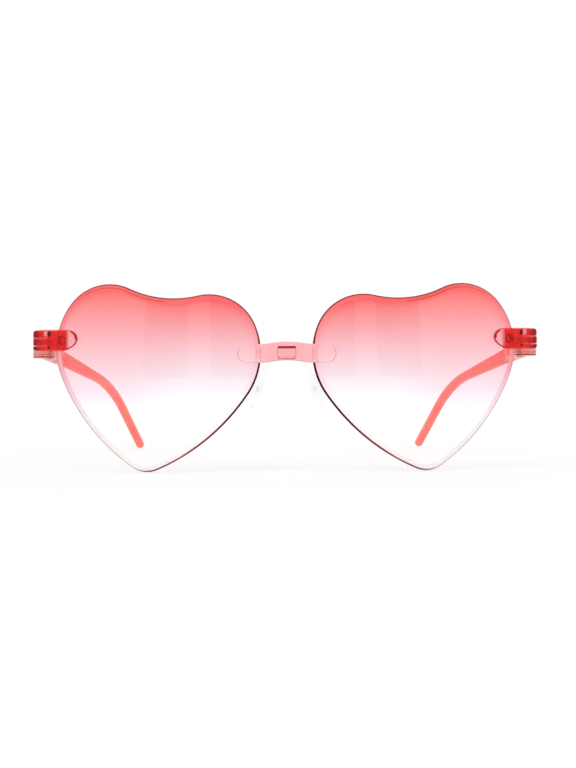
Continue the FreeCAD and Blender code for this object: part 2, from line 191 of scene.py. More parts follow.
# Studio: metres; a lamp has its place, size and power
studioSet = {"skyLevel": 0.55, "roomGloss": 0.85, "roomTurn": (-0.6, 0.0),
             "stand": (0.185, 0.115, 0.02), "standGloss": 0.15, "standTurn": (-0.8, -0.6),
             "floorSize": 6.0, "floorBelow": 0.0002, "floorWhite": 0.86, "floorSeen": 0.42,
             "floorLift": (0.66, 0.80), "floorFar": (0.12, 0.7), "lampAim": (0.0, 0.0, 0.03),
             "lamps": (("key lamp", (-0.55, -0.75, 0.95), 0.9, 3.2), ("fill lamp", (0.8, -0.35, 0.7), 0.9, 2.0),
                       ("back lamp", (0.1, 0.9, 0.8), 0.9, 1.6))}


def seenDirectly(w):
    # 1 for camera, mirror and see-through rays
    path = w.node("ShaderNodeLightPath", None, None, "Is Camera Ray")
    return path.most(path.other("Is Glossy Ray")).most(path.other("Is Transmission Ray"))


def makeWorld():
    # white all round, but gloss mirrors a dim room with a darker stand on the viewer's side
    s = studioSet
    world = bpy.data.worlds.new("studio")
    world.use_nodes = True
    world.node_tree.nodes.clear()
    w = Wire(world.node_tree)
    path = w.node("ShaderNodeLightPath", None, None, "Is Glossy Ray")
    mirror = path * (1 - path.other("Is Transmission Ray"))
    dx, dy, _ = w.node("ShaderNodeTexCoord", None, None, "Generated").parts()
    room = dy.ease(*s["roomTurn"], s["roomGloss"], 1.0)
    darker = dy.ease(*s["standTurn"], s["roomGloss"] - s["standGloss"], 0.0)
    stand = near((dx / dy).size(), *s["stand"]) * darker
    plain = seenDirectly(w).span(s["skyLevel"], 1.0)
    strength = mirror * (room - stand) + (1 - mirror) * plain
    sky = w.node("ShaderNodeBackground", None, {"Color": rgba(white), "Strength": strength})
    w.node("ShaderNodeOutputWorld", None, {"Surface": sky})
    scene.world = world


def makeFloor():
    # lights the glasses as white, and is seen paler with distance so that no horizon shows
    s = studioSet
    m, w = material("floor white")
    lit, pale = (w.node("ShaderNodeBsdfDiffuse", None, {"Color": rgba((s[key],) * 3)})
                 for key in ("floorWhite", "floorSeen"))
    away = w.node("ShaderNodeVectorMath", {"operation": "LENGTH"}, {
        0: w.node("ShaderNodeTexCoord", None, None, "Object")}, "Value")
    lift = away.ease(*s["floorFar"], *s["floorLift"])
    glow = w.node("ShaderNodeEmission", None, {"Color": lift.blend((0.0, 0.0, 0.0), white), "Strength": 1.0})
    shown = w.node("ShaderNodeAddShader", None, {0: pale, 1: glow})
    close(w, w.node("ShaderNodeMixShader", None, {0: seenDirectly(w), 1: lit, 2: shown}))
    half = s["floorSize"] / 2
    mesh = bpy.data.meshes.new("floor")
    corners = [(-half, -half, 0), (half, -half, 0), (half, half, 0), (-half, half, 0)]
    mesh.from_pydata(corners, [], [(0, 1, 2, 3)])
    mesh.materials.append(m)
    floor = bpy.data.objects.new("floor", mesh)
    floor.location.z = -s["floorBelow"]
    scene.collection.objects.link(floor)


def makeLamps():
    s = studioSet
    for name, spot, size, power in s["lamps"]:
        lamp = bpy.data.lights.new(name, "AREA")
        lamp.shape, lamp.size, lamp.energy = "DISK", size, power
        ob = bpy.data.objects.new(name, lamp)
        ob.location = spot
        ob.rotation_euler = (Vector(s["lampAim"]) - Vector(spot)).to_track_quat("-Z", "Y").to_euler()
        scene.collection.objects.link(ob)


makeWorld()
makeFloor()
makeLamps()
print("studio set")


# What the finishes share; places in them are millimetres, and colours that shine through are per surface
def where(w):
    # the point as a vector in millimetres and its three parts
    spot = w.node("ShaderNodeVectorMath", {"operation": "SCALE"}, {
        0: w.node("ShaderNodeTexCoord", None, None, "Object"), "Scale": 1.0 / mm})
    return (spot,) + spot.parts()


def facing(w):
    return w.node("ShaderNodeTexCoord", None, None, "Normal").parts()


def stored(w, name):
    return w.node("ShaderNodeAttribute", {"attribute_name": name}, None, "Fac")


def shadedOutline(w):
    # 0 where the surface faces the eye, 1 along its outline
    return w.node("ShaderNodeLayerWeight", None, {"Blend": 0.5}, "Facing")


def noise(w, spot, scale, detail=2.0, stretch=None):
    # soft blotches, scale per millimetre
    if stretch:
        spot = w.node("ShaderNodeVectorMath", {"operation": "MULTIPLY"}, {0: spot, 1: stretch})
    return w.node("ShaderNodeTexNoise", None, {"Vector": spot, "Scale": scale, "Detail": detail}, "Fac")


def clouds(w, spot, scale, stretch=None):
    return noise(w, spot, scale, 3.0, stretch).ease(0.3, 0.7)


def wear(w, spot, least, most):
    # roughness that differs a little from place to place
    return noise(w, spot, 0.9).ease(0.4, 0.8, least, most)


def polish(w, spot, scale, strength):
    # the slight waviness of moulded plastic
    return w.node("ShaderNodeBump", None, {
        "Height": noise(w, spot, scale), "Strength": strength, "Distance": 0.1 * mm}, "Normal")


def clear(w, base, rough, bump, ior, coat=0.0):
    # see-through plastic, gloss from its coat where it bends light little
    return w.node("ShaderNodeBsdfPrincipled", None, {
        "Base Color": base, "Roughness": rough, "Normal": bump, "IOR": ior, "Transmission Weight": 1.0,
        "Coat Weight": coat, "Coat Roughness": 0.03})


def milky(w, base, rough, bump, shine=0.5):
    # plastic that scatters the light
    return w.node("ShaderNodeBsdfPrincipled", None, {
        "Base Color": base, "Roughness": rough, "Normal": bump, "Specular IOR Level": shine})


def mixed(w, share, a, b):
    return w.node("ShaderNodeMixShader", None, {0: share, 1: a, 2: b})


# Lens dye: pink that fades downward, deeper towards the rim, which is ground; painted shade darkens the edge and
# lines the bevel's ridge, and a painted reflection runs along the upper rim
lensLook = {"level": 40.36, "least": 0.12, "outer": (28.0, 50.0), "streaks": (0.05, 2.0, (1.0, 1.0, 0.3)),
            "streakHigh": 0.8, "green": (0.470, 0.0290, 0.0218), "blue": (0.500, 0.0318, 0.0246),
            "rimWide": 1.7, "rimSoft": 0.06, "rimGround": 0.42, "deeper": (1.5, 3.6, 0.14), "deeperRim": 0.28,
            "ridgeShade": (0.985, 0.92, 0.93), "ridgeWide": (0.04, 0.1), "fade": (6.0, 18.0),
            "middle": (38.0, 31.5), "lean": (0.8, 0.6), "leanTurn": (-0.75, -0.25),
            "tipHigh": (3.0, 9.0), "tipOut": (2.0, 9.0), "tipShare": 0.8,
            "edgeWide": 0.58, "edgeThin": 0.36, "edgeSoft": 0.06, "edgeShare": (0.7, 1.0), "edgeRough": 0.25,
            "edgeDark": (0.13, 0.010, 0.012), "edgeGrey": (0.25, 0.10, 0.105), "edgeTip": (0.40, 0.07, 0.07),
            "topHigh": (36.0, 43.0), "topRed": (0.40, 0.075, 0.075), "topThinner": 0.13, "back": (1.9, 1.98),
            "reflectionLine": (1.22, 0.16, 0.14), "reflectionRun": (48.0, 11.0, 2.5), "reflectionRed": (0.62, 0.20, 0.15),
            "bar": (35.05, 2.7, 0.1), "barReach": (-25.0, -20.0), "barRim": (0.5, 0.9), "barPale": 0.45,
            "smears": (0.4, 3.0), "smearRough": (0.5, 0.8, 0.0, 0.02), "ripple": (0.12, 0.02), "ior": 1.5}


def lensDye(w, spot, x, z, inset, slope):
    # green and blue light grow along a straight line downward, red passes all
    s = lensLook
    depth = s["level"] - (z + noise(w, spot, *s["streaks"]).span(-s["streakHigh"], s["streakHigh"]))
    outer = x.size().ease(*s["outer"])
    fromRim, toRim, more = s["deeper"]
    power = inset.ease(fromRim, toRim, 1.0 + more, 1.0) + slope * s["deeperRim"]
    passed = {"Red": 1.0}
    for channel, (start, innerRise, outerRise) in (("Green", s["green"]), ("Blue", s["blue"])):
        share = (depth * outer.span(innerRise, outerRise) + start).most(s["least"]).least(1.0)
        passed[channel] = (share ** power).most(s["least"])
    return w.node("ShaderNodeCombineColor", None, passed)


def lensTint():
    s = lensLook
    m, w = material("lens tint")
    spot, x, _, z = where(w)
    inset, drop = stored(w, "inset"), stored(w, "drop")
    front = drop.fall(*s["back"])
    slope = inset.fall(s["rimWide"] - s["rimSoft"], s["rimWide"])
    raised, top = z.ease(*s["fade"]), z.ease(*s["topHigh"])
    tint = lensDye(w, spot, x, z, inset, slope)
    # painted shade: a faint darker line along the bevel's ridge
    tint = tint.stained(near(inset, s["rimWide"], *s["ridgeWide"]) * raised, s["ridgeShade"])
    # painted reflection of the bevel: a red line along the upper rim
    line = near(inset, *s["reflectionLine"]) * near(x.size(), *s["reflectionRun"]) * top * front
    tint = tint.stained(line, s["reflectionRed"])
    across, up = x.size() - s["middle"][0], z - s["middle"][1]
    held = near(z, *s["bar"]) * across.fall(*s["barReach"])
    tint = (held * inset.ease(*s["barRim"], s["barPale"], 0.0)).blend(tint, white)

    # the edge is painted dark, partly the deeper tint seen through its wall and partly painted shade, darkest on the
    # nose side and wider there than on the outer side
    side = (up * s["lean"][1] - across * s["lean"][0]) / (squares(across, up) + 1.0) ** 0.5
    tip = z.ease(*s["tipHigh"], s["tipShare"], 0.0) * across.fall(*s["tipOut"])
    nasal = side.ease(*s["leanTurn"]).most(tip)
    wide = nasal.span(s["edgeThin"], s["edgeWide"] - top * s["topThinner"])
    edge = (inset - wide).fall(-s["edgeSoft"], s["edgeSoft"]) * front
    share = edge * nasal.span(*s["edgeShare"]) * (1 - held)
    dark = top.blend(raised.blend(s["edgeTip"], s["edgeDark"]), s["topRed"])
    smear = noise(w, spot, *s["smears"]).ease(*s["smearRough"])
    bump = polish(w, spot, *s["ripple"])
    shadedEdge = milky(w, nasal.blend(s["edgeGrey"], dark), smear + s["edgeRough"], bump, 0.0)
    body = clear(w, tint, smear + slope * front * s["rimGround"], bump, s["ior"])
    close(w, mixed(w, share, body, shadedEdge))
    return m


# Bridge plastic: thick and pink between the lenses, pale over them, with painted shade along its outline, most on
# the underside, and painted shade round its window and in its slot
bridgeLook = {"pink": ((1.0, 0.45, 0.48), (1.0, 0.50, 0.53)), "flow": (0.35, (1.0, 1.0, 2.0)),
              "over": (1.0, 0.915, 0.925), "lensEdge": (7.43, 8.33),
              "wall": (0.24, 0.015, 0.02), "wallTurn": (0.55, 0.97), "lowTurn": (-0.9, -0.3), "undersideShadeShare": 0.6,
              "levelShare": 0.12, "ends": (9.5, 10.5), "endTurn": (0.3, 0.8),
              "mouthShade": (0.60, 0.13, 0.14), "mouthSides": ((2.52, 0.20, 0.05), (35.4, 1.5, 0.05)),
              "mouthLow": ((0.0, 2.58, 0.04), (34.1, 0.10, 0.05)), "mouthLowShare": 0.6,
              "mouthTop": ((0.0, 2.58, 0.04), (36.76, 0.34, 0.05)), "mouthTopShade": (0.36, 0.010, 0.015),
              "slot": ((0.0, 2.5, 0.03), (33.5, 0.17, 0.03)), "slotShade": (0.75, 0.22, 0.25),
              "slotDots": (2.15, 2.25), "slotDot": (0.40, 0.04, 0.06),
              "rough": (0.01, 0.05), "ripple": (0.3, 0.03), "ior": 1.1, "coat": 0.6}


def bridgePink():
    s = bridgeLook
    m, w = material("pink plastic")
    spot, x, _, z = where(w)
    nx, ny, nz = facing(w)
    out = x.size()
    tint = out.ease(*s["lensEdge"]).blend(clouds(w, spot, *s["flow"]).blend(*s["pink"]), s["over"])
    # painted shade on the side walls, strongest on the underside and at the ends
    low = nz.fall(*s["lowTurn"]) * s["undersideShadeShare"]
    end = nx.size().ease(*s["endTurn"]) * out.ease(*s["ends"])
    wall = ny.size().fall(*s["wallTurn"]) * (low + end + nz.size() * s["levelShare"])
    tint = tint.stained(wall, s["wall"])
    # painted shade along the sides, foot and top of the window
    sides, below = patch(out, z, *s["mouthSides"]), patch(x, z, *s["mouthLow"])
    tint = sides.most(below * s["mouthLowShare"]).blend(tint, s["mouthShade"])
    tint = patch(x, z, *s["mouthTop"]).blend(tint, s["mouthTopShade"])
    # painted shade in the slot below the window, darkest at its ends
    slotTint = out.ease(*s["slotDots"]).blend(s["slotShade"], s["slotDot"])
    tint = patch(x, z, *s["slot"]).blend(tint, slotTint)
    bump = polish(w, spot, *s["ripple"])
    close(w, clear(w, tint, wear(w, spot, *s["rough"]), bump, s["ior"], s["coat"]))
    return m


# End piece plastic: deep red block, pale tongue with a painted shade crescent, light grooves, painted highlight and
# shade at the hinge seats, rings on the pin
endLook = {"red": ((1.0, 0.036, 0.024), (0.97, 0.022, 0.014)), "flow": (0.5, (0.5, 1.0, 2.0)),
           "dark": (0.42, 0.0, 0.004), "outer": (73.4, 74.9),
           "tongue": (1.0, 0.74, 0.76), "tongueEnd": (65.0, 65.3),
           "tongueShade": (0.52, 0.003, 0.006), "tip": (61.885, 39.78), "topRun": (3.4, 2.6), "lowRun": (5.3, 3.5),
           "upSoft": 0.05, "band": 0.93, "bandSoft": 0.02, "bandEnd": (0.0, 0.1),
           "thicker": 0.15, "thickest": (0.9, 0.7, 0.8),
           "groove": (1.0, 0.50, 0.52), "grooves": (37.78, 40.08), "grooveHigh": (0.16, 0.05),
           "grooveIn": (71.0, 71.1),
           "pin": (66.785, 39.33), "pinEdge": (1.0, 1.15), "pinRed": (1.0, 0.09, 0.075), "ringSoft": 0.06,
           "rings": ((1.2, 0.10, (0.46, 0.0, 0.004)), (0.6, 0.07, (0.55, 0.01, 0.01))),
           "slant": (-65.0, 0.21),
           "shankHighlightShade": (((71.57, 0.40, 0.15), (41.3, 0.67, 0.15), (1.0, 0.80, 0.80)),
                     ((70.52, 0.37, 0.15), (41.3, 0.67, 0.15), (0.14, 0.0, 0.003)),
                     ((70.65, 0.24, 0.15), (37.3, 0.32, 0.15), (0.18, 0.0, 0.003))),
           "rough": (0.02, 0.06), "milkRough": 0.1, "milk": (0.15, 0.25), "ripple": (0.3, 0.02),
           "ior": 1.0, "coat": 0.5}


def tongueShade(out, z):
    # painted shade: a dark band along the round nose of the tongue, thickest above its tip
    s = endLook
    tipX, tipZ = s["tip"]
    up = z - tipZ
    above = up.ease(-s["upSoft"], s["upSoft"])
    run, rise = (above.span(low, top) for low, top in zip(s["lowRun"], s["topRun"]))
    u, v = ((tipX + run - out) / run).most(0.0), up / rise
    limit = s["band"] - near(up, *s["thickest"]) * s["thicker"]
    return (squares(u, v) ** 0.5 - limit).ease(-s["bandSoft"], s["bandSoft"]) * u.ease(*s["bandEnd"])


def endRed():
    s = endLook
    m, w = material("red plastic")
    spot, x, y, z = where(w)
    out = x.size()
    flow = clouds(w, spot, *s["flow"])
    tint = out.ease(*s["outer"]).blend(flow.blend(*s["red"]), s["dark"])
    low, high = (near(z, at, *s["grooveHigh"]) for at in s["grooves"])
    tint = (low.most(high) * out.ease(*s["grooveIn"])).blend(tint, s["groove"])
    # painted highlight and shade of the screw shank at the hinge seats, sheared on a slant so front and back patches
    # line up from the front
    slantFrom, slant = s["slant"]
    slanted = out - (y - slantFrom) * slant
    for wide, tall, colour in s["shankHighlightShade"]:
        tint = patch(slanted, z, wide, tall).blend(tint, colour)
    tint = out.ease(*s["tongueEnd"]).blend(s["tongue"], tint)
    tint = tongueShade(out, z).blend(tint, s["tongueShade"])
    radius = squares(out - s["pin"][0], z - s["pin"][1]) ** 0.5
    tint = radius.fall(*s["pinEdge"]).blend(tint, s["pinRed"])
    for ring, half, colour in s["rings"]:
        tint = near(radius, ring, half, s["ringSoft"]).blend(tint, colour)
    rough, bump = wear(w, spot, *s["rough"]), polish(w, spot, *s["ripple"])
    body = clear(w, tint, rough, bump, s["ior"], s["coat"])
    close(w, mixed(w, flow.span(*s["milk"]), body, milky(w, tint, rough + s["milkRough"], bump)))
    return m


# Temple plastic: coral rod, paler and milky at the hinge block, painted shade on its underside, with dark lines on
# the block's front
templeLook = {"coral": ((1.0, 0.122, 0.070), (1.0, 0.212, 0.146)), "flow": (0.3, (1.0, 0.12, 1.0)),
              "block": (1.0, 0.76, 0.79), "blockEnd": (-45.5, -41.5),
              "flankTurn": (-0.9, -0.5), "flank": (-53.0, -50.5),
              "under": (1.0, 0.74, 0.66), "underTurn": (-0.95, 0.4), "frontTurn": (-0.8, -0.6),
              "flange": (1.0, 0.50, 0.49), "flangeTop": (36.2, 36.4), "flangeEnd": (-52.0, -50.0),
              "lines": ((35.40, 0.10, (0.55, 0.20, 0.23)), (34.56, 0.18, (0.30, 0.015, 0.02))), "lineSoft": 0.06,
              "foot": (74.0, 34.5), "footHalf": (1.15, 0.5), "footSoft": (0.7, 1.0), "footRed": (0.50, 0.008, 0.012),
              "milk": (0.14, 0.60), "flangeMilk": 0.65, "rough": (0.03, 0.1), "milkRough": 0.15,
              "ripple": (0.3, 0.03), "ior": 1.0, "coat": 0.5}


def coral():
    s = templeLook
    m, w = material("coral plastic")
    spot, x, y, z = where(w)
    nx, ny, nz = facing(w)
    inner = (nx * x / x.size()).fall(*s["flankTurn"]) * y.ease(*s["flank"])  # side towards the head
    hinge = y.fall(*s["blockEnd"]) * (1 - inner)
    tint = hinge.blend(clouds(w, spot, *s["flow"]).blend(*s["coral"]), s["block"])
    flange = hinge * z.fall(*s["flangeTop"]) * y.fall(*s["flangeEnd"])
    tint = flange.blend(tint, s["flange"])
    # painted shade: darker on the underside, lighter on top
    tint = tint.stained(nz.fall(*s["underTurn"]), s["under"])
    front = ny.fall(*s["frontTurn"]) * hinge
    for at, half, colour in s["lines"]:
        tint = (near(z, at, half, s["lineSoft"]) * front).blend(tint, colour)
    across, up = ((v - at) / half for v, at, half in zip((x.size(), z), s["foot"], s["footHalf"]))
    tint = (squares(across, up).fall(*s["footSoft"]) * front).blend(tint, s["footRed"])
    rough, bump = wear(w, spot, *s["rough"]), polish(w, spot, *s["ripple"])
    share = hinge.span(*s["milk"]).most(flange * s["flangeMilk"])
    body = clear(w, tint, rough, bump, s["ior"], s["coat"])
    close(w, mixed(w, share, body, milky(w, tint, rough + s["milkRough"], bump)))
    return m


# Clear nose parts, and the pink tenon that fills the window of the bridge; a mark has its place and size
clearLook = {"plastic": (0.995, 0.985, 0.985), "plasticClouds": 0.6, "plasticRough": (0.01, 0.04),
             "silicone": (0.99, 0.98, 0.98), "siliconeClouds": 1.2, "siliconeRough": (0.0, 0.02),
             "cloudy": 0.985, "shadedOutline": (0.78, 0.74, 0.77), "shadedOutlineFrom": (0.62, 1.0),
             "tenon": (0.97, 0.19, 0.225), "tenonEnd": (-69.5, -69.3),
             "mark": (0.44, 0.13, 0.21), "marks": ((8.6, 24.5, 0.95), (10.6, 19.4, 0.75)), "markTall": 0.5,
             "markTurn": (-0.3, 0.0), "markShare": 0.2, "ripple": (0.4, 0.01), "ior": 1.0, "coat": 0.5}


def hazy(w, spot, colour, scale):
    # clouds, and a colour that is a little greyer in them, with painted shade along the outline
    s = clearLook
    haze = clouds(w, spot, scale)
    tint = haze.blend(colour, tuple(c * s["cloudy"] for c in colour))
    return haze, tint.stained(shadedOutline(w).ease(*s["shadedOutlineFrom"]), s["shadedOutline"])


def clearPlastic():
    s = clearLook
    m, w = material("clear plastic")
    spot, _, y, _ = where(w)
    haze, tint = hazy(w, spot, s["plastic"], s["plasticClouds"])
    tint = y.ease(*s["tenonEnd"]).blend(s["tenon"], tint)
    close(w, clear(w, tint, haze.span(*s["plasticRough"]), polish(w, spot, *s["ripple"]), s["ior"], s["coat"]))
    return m


def clearSilicone():
    s = clearLook
    m, w = material("clear silicone")
    spot, x, _, z = where(w)
    haze, tint = hazy(w, spot, s["silicone"], s["siliconeClouds"])
    front = facing(w)[1].ease(*s["markTurn"], s["markShare"], 0.0)
    for markX, markZ, size in s["marks"]:
        across, up = x.size() - markX, z - markZ
        spread = across * across + up * up * s["markTall"]
        tint = (spread.fall(0.0, size * size) * front).blend(tint, s["mark"])
    close(w, clear(w, tint, haze.span(*s["siliconeRough"]), polish(w, spot, *s["ripple"]), s["ior"], s["coat"]))
    return m


# Hinge screw: turned and lightly brushed steel, the domed head lacquered red
screwLook = {"steel": ((0.86, 0.84, 0.83), (0.95, 0.93, 0.92)), "lacquer": (0.88, 0.36, 0.38),
             "headTop": (34.50, 34.56), "brush": (2.5, 4.0, (1.0, 1.0, 6.0)), "brushTone": (0.3, 0.7),
             "rough": (0.3, 0.5)}


def steel():
    s = screwLook
    m, w = material("screw steel")
    spot, _, _, z = where(w)
    brush = noise(w, spot, *s["brush"])
    bare = z.ease(*s["headTop"])
    tint = bare.blend(s["lacquer"], brush.ease(*s["brushTone"]).blend(*s["steel"]))
    close(w, w.node("ShaderNodeBsdfPrincipled", None, {
        "Base Color": tint, "Metallic": bare, "Roughness": brush.span(*s["rough"])}))
    return m


finishes = {
    "lens_tint": lensTint(), "pink_plastic": bridgePink(), "red_plastic": endRed(), "coral_plastic": coral(),
    "clear_plastic": clearPlastic(), "clear_silicone": clearSilicone(), "screw_steel": steel()}
slotOf = {row["node"]: row["material_slot"] for row in frame["record"]["subparts"]}
for name, ob in frame["nodes"].items():
    for i in range(len(ob.data.materials)):
        ob.data.materials[i] = finishes[slotOf[name]]
print("finishes made:", len(finishes))


# What the remade pieces share
def helper(name, data):
    ob = bpy.data.objects.new(name, data)
    scene.collection.objects.link(ob)
    return ob


def newTree(name, inputs):
    # a node tree with named inputs and one geometry output, and a wire for each input
    tree = bpy.data.node_groups.new(name, "GeometryNodeTree")
    for label, kind in inputs:
        tree.interface.new_socket(label, in_out="INPUT", socket_type=kind)
    tree.interface.new_socket("Geometry", in_out="OUTPUT", socket_type="NodeSocketGeometry")
    start = Wire(tree).node("NodeGroupInput")
    return tree, {label: start.other(label) for label, _ in inputs}


def endTree(w, shape, finish):
    # smooth shading, real geometry and the finish close every tree
    shape = w.node("GeometryNodeSetShadeSmooth", None, {"Geometry": shape, "Shade Smooth": True})
    shape = w.node("GeometryNodeRealizeInstances", None, {"Geometry": shape})
    shape = w.node("GeometryNodeSetMaterial", None, {"Geometry": shape, "Material": finish})
    w.node("NodeGroupOutput", None, {"Geometry": shape})


def grown(name, tree, values):
    # runs a node tree once and keeps the plain mesh that it makes
    piece = helper(name, bpy.data.meshes.new(name))
    run = piece.modifiers.new("make", "NODES")
    run.node_group = tree
    for item in tree.interface.items_tree:
        if item.in_out == "INPUT":
            run[item.identifier] = values[item.name]
    ready = piece.evaluated_get(bpy.context.evaluated_depsgraph_get())
    mesh = bpy.data.meshes.new_from_object(ready)
    piece.modifiers.remove(run)
    piece.data = mesh
    return piece


def outward(mesh):
    # closes seams and turns all faces outward
    bm = bmesh.new()
    bm.from_mesh(mesh)
    bmesh.ops.remove_doubles(bm, verts=bm.verts, dist=0.001 * mm)
    bmesh.ops.recalc_face_normals(bm, faces=bm.faces)
    bm.to_mesh(mesh)
    bm.free()


def flipped(piece, name):
    # the same piece on the other side of the mid plane
    mesh = piece.data.copy()
    mesh.transform(Matrix.Diagonal((-1.0, 1.0, 1.0, 1.0)))
    outward(mesh)
    return helper(name, mesh)


def middle(low, high):
    return [(a + b) / 2 for a, b in zip(low, high)]


# Heart lenses: a closed chain of tangent arcs, and a section from the middle of the front round the rim
lensSet = {"tip": (41.53, 7.7), "tipR": 7.7, "outerLobe": (11.25, 34.0), "outerLobeR": 14.3,
           "innerLobe": (-18.65, 30.3), "innerLobeR": 14.7, "notchR": 30.6, "outerSideR": 60.7, "innerSideR": 62.2,
           "outerShoulderR": 22.3, "outerShoulderDeg": 37.4, "innerShoulderR": 21.85, "innerShoulderDeg": 157.3,
           "arcSpan": 0.6, "arcSteps": 24, "frontR": 130.0, "thick": 2.0, "pole": (29.13, 29.0),
           "middle": lensLook["middle"], "middleInset": 20.0, "rimWide": lensLook["rimWide"], "rimDrop": 0.45,
           "edgeWide": 0.4, "edgeDrop": 0.8, "soft": 0.03, "firm": 0.001, "trim": 0.003, "seam": 0.002,
           "around": 420, "rings": 14, "crowding": 0.8, "biteGap": 0.05, "biteSides": 48, "biteDeep": 30.0,
           "biteMouth": 5.0}


def heartArcs(s):
    # centre, radius and the two directions of each arc, seen from the front as complex numbers
    def polar(deg):
        return cmath.rect(1.0, math.radians(deg))

    def unit(c):
        return c / abs(c)

    def meet(c1, d1, c2, d2, hand):
        # the point at distance d1 from c1 and d2 from c2
        e = c2 - c1
        x = (d1 * d1 - d2 * d2 + abs(e) ** 2) / (2 * abs(e))
        return c1 + unit(e) * complex(x, hand * math.sqrt(d1 * d1 - x * x))

    tip = complex(*s["tip"])
    outer, inner = tip + complex(*s["outerLobe"]), tip + complex(*s["innerLobe"])
    notch = meet(inner, s["innerLobeR"] + s["notchR"], outer, s["outerLobeR"] + s["notchR"], 1)
    outerAim, innerAim = polar(s["outerShoulderDeg"]), polar(s["innerShoulderDeg"])
    outerSh = outer - outerAim * (s["outerShoulderR"] - s["outerLobeR"])
    innerSh = inner - innerAim * (s["innerShoulderR"] - s["innerLobeR"])
    outerSide = meet(outerSh, s["outerSideR"] - s["outerShoulderR"], tip, s["outerSideR"] - s["tipR"], -1)
    innerSide = meet(tip, s["innerSideR"] - s["tipR"], innerSh, s["innerSideR"] - s["innerShoulderR"], -1)
    toOuterSh, toNotchO = unit(outerSh - outerSide), unit(notch - outer)
    toNotchI, toInnerSh = unit(notch - inner), unit(innerSh - innerSide)
    tipIn, tipOut = unit(tip - innerSide), unit(tip - outerSide)
    return [(outerSh, s["outerShoulderR"], toOuterSh, outerAim), (outer, s["outerLobeR"], outerAim, toNotchO),
            (notch, s["notchR"], -toNotchO, -toNotchI), (inner, s["innerLobeR"], toNotchI, innerAim),
            (innerSh, s["innerShoulderR"], innerAim, toInnerSh), (innerSide, s["innerSideR"], toInnerSh, tipIn),
            (tip, s["tipR"], tipIn, tipOut), (outerSide, s["outerSideR"], tipOut, toOuterSh)]


def heartCurve(s):
    # the outline as one closed Bezier spline, each arc in spans of at most arcSpan radians
    spans = []
    for centre, radius, start, end in heartArcs(s):
        sweep = cmath.phase(end / start)
        count = math.ceil(abs(sweep) / s["arcSpan"])
        pull = 4.0 / 3.0 * math.tan(sweep / count / 4.0) * 1j
        for i in range(count):
            a, b = (start * cmath.rect(1.0, sweep * (i + k) / count) for k in (0, 1))
            after, toNext = centre + radius * a * (1 + pull), centre + radius * b * (1 - pull)
            spans.append((centre + radius * a, after, toNext))
    curve = bpy.data.curves.new("heart outline", "CURVE")
    curve.dimensions, curve.resolution_u = "3D", s["arcSteps"]
    line = curve.splines.new("BEZIER")
    line.bezier_points.add(len(spans) - 1)
    line.use_cyclic_u = True
    for i, (knot, after, _) in enumerate(spans):
        p, before = line.bezier_points[i], spans[i - 1][2]
        p.handle_left_type = p.handle_right_type = "FREE"
        for key, c in (("co", knot), ("handle_right", after), ("handle_left", before)):
            setattr(p, key, (c.real * mm, 0.0, c.imag * mm))
    return helper("heart outline", curve)


def lensSection(s):
    # rows of the lens as points: inset from the outline, share of the way to the middle, drop below the front
    soft, wide, edge, thick = s["soft"], s["rimWide"], s["edgeWide"], s["thick"]
    slope = s["rimDrop"] / wide
    wall = s["rimDrop"] + s["edgeDrop"]
    edgeDrop = slope * (wide - edge)
    steep = (wall - edgeDrop) / edge
    shares = [1.0 - (i / s["rings"]) ** s["crowding"] for i in range(s["rings"])] + [2.0 * s["firm"], s["firm"]]
    rows = [(wide, share, 0.0) for share in shares]
    for begin, end in ((wide, edge), (edge, 0.0)):
        # two rows at each end of a slope keep its shading flat
        for inset in (begin - soft / 2, begin - soft, end + soft, end + soft / 2):
            low = slope * (wide - inset) if end else edgeDrop + steep * (edge - inset)
            rows.append((inset, 0.0, low))
    rows += [(0.0, 0.0, low) for low in (wall + soft, wall + 2 * soft, thick - 2 * soft, thick - soft)]
    rows += [(soft, 0.0, thick), (2 * soft, 0.0, thick)]
    rows += [(wide, share, thick) for share in [0.0] + shares[::-1]]
    mesh = bpy.data.meshes.new("lens section")
    mesh.from_pydata([((inset + s["trim"]) * mm, share, low * mm) for inset, share, low in rows], [], [])
    return helper("lens section", mesh)


def biteTools(w, s, pin, bite):
    # a bore where the pin goes and the open mouth beside it
    deep, mouth = s["biteDeep"] * mm, s["biteMouth"] * mm
    bore = w.node("GeometryNodeMeshCylinder", None, {
        "Vertices": s["biteSides"], "Radius": bite, "Depth": deep}, "Mesh")
    slab = w.node("GeometryNodeMeshCube", None, {"Size": vector(w, mouth, deep, bite * 2.0)}, "Mesh")
    bx, by, bz = pin.parts()
    beside = vector(w, bx + mouth / 2, by, bz)
    return (w.node("GeometryNodeTransform", None, {
                "Geometry": bore, "Translation": pin, "Rotation": (math.pi / 2, 0.0, 0.0)}),
            w.node("GeometryNodeTransform", None, {"Geometry": slab, "Translation": beside}))


